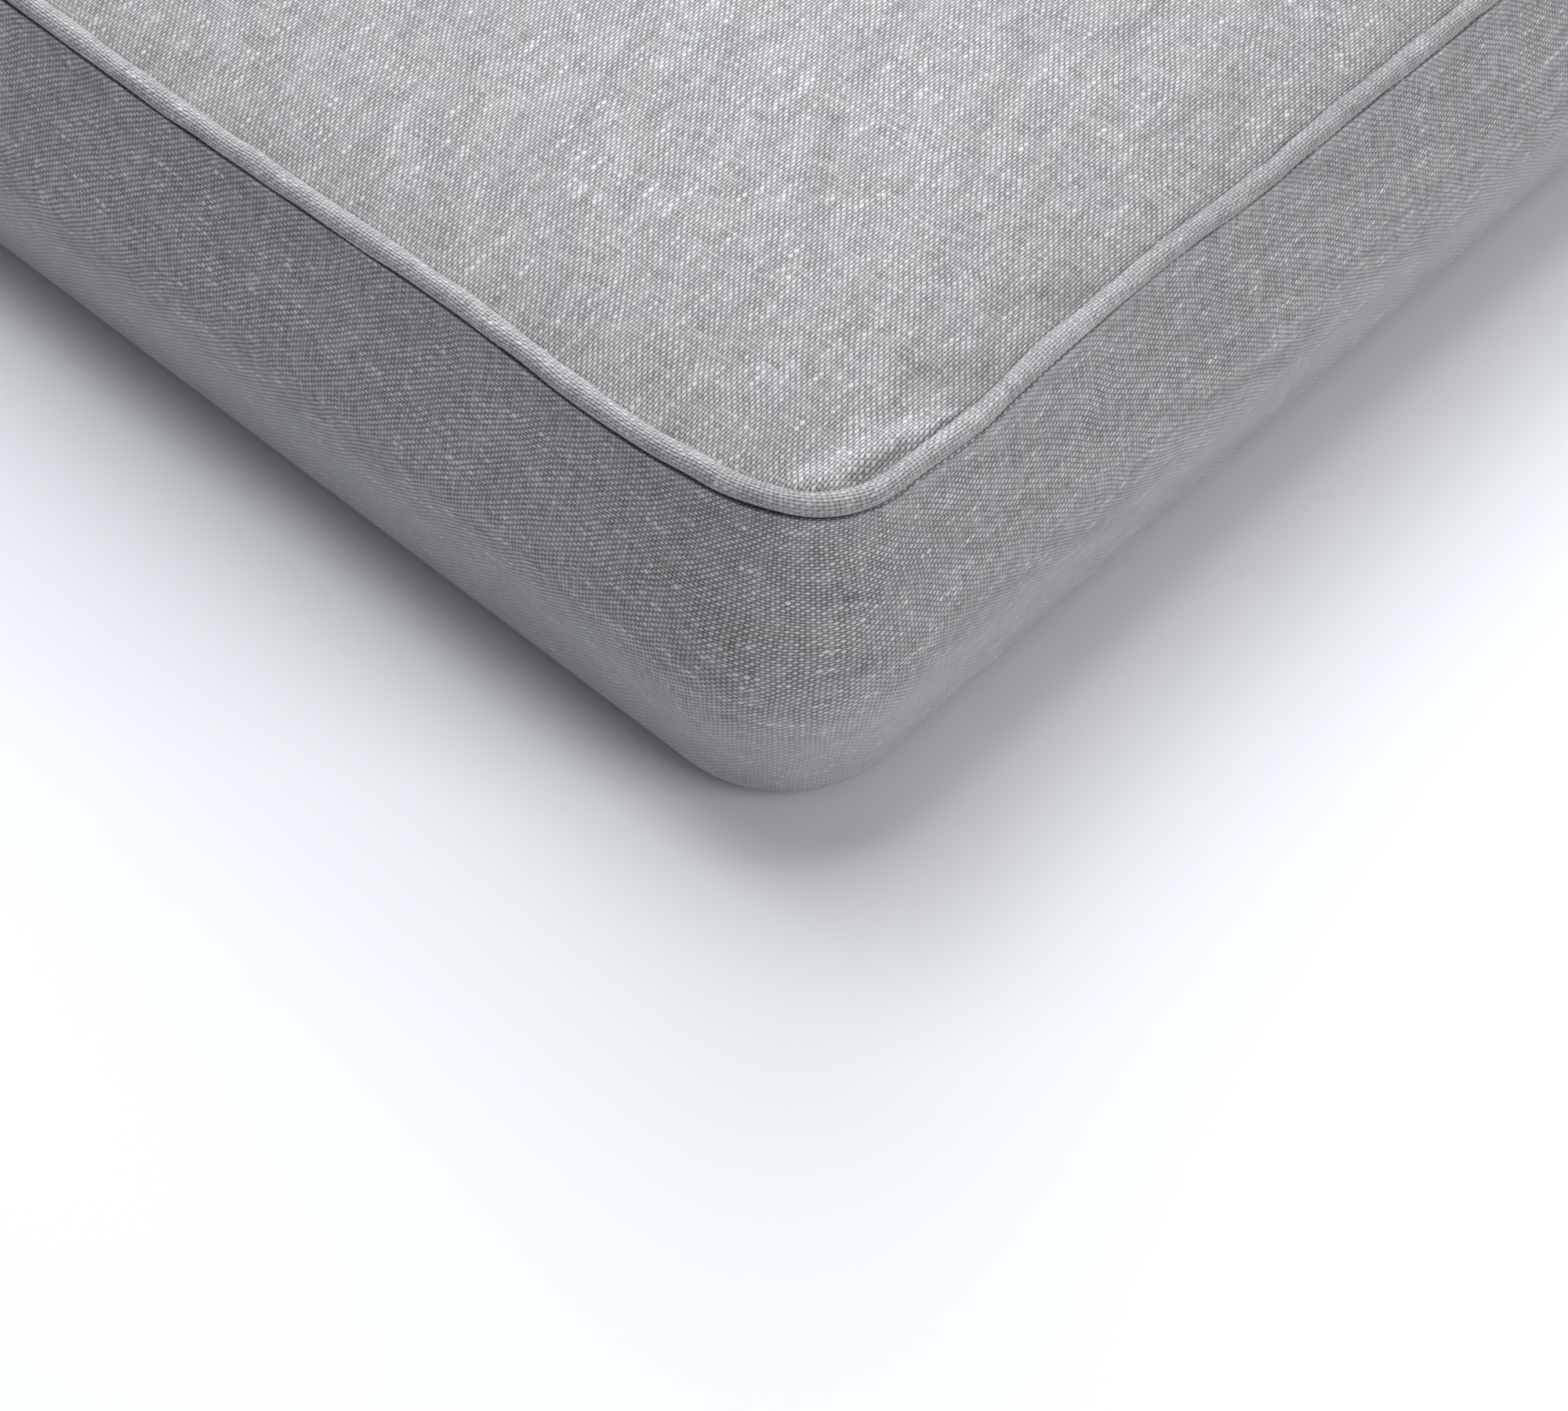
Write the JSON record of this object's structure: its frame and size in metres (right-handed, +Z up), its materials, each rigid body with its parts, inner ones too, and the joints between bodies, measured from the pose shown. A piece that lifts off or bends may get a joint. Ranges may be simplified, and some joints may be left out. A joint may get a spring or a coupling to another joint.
{
  "type": "daybed cover on mattress",
  "caption": "Fitted box-shaped linen cover with a welted top edge and rounded corners, on the plain daybed mattress that it fits.",
  "frame": {"origin": "middle of the underside, on the surface that the cover and mattress rest on", "axes": "+X along the long side, +Y along the short side, +Z up"},
  "size_m": [1.9048, 0.9898, 0.1331],
  "materials": {
    "linen": "heavy slubby plain-weave linen, light grey floats over taupe yarns, matt",
    "welt_linen": "the same linen wrapped on a cord, matt",
    "foam": "plain undyed ticking, matt"
  },
  "bodies": {
    "root": {"mattress": "foam", "top_panel": "linen", "boxing": "linen", "welt": "welt_linen"}
  },
  "joints": []
}
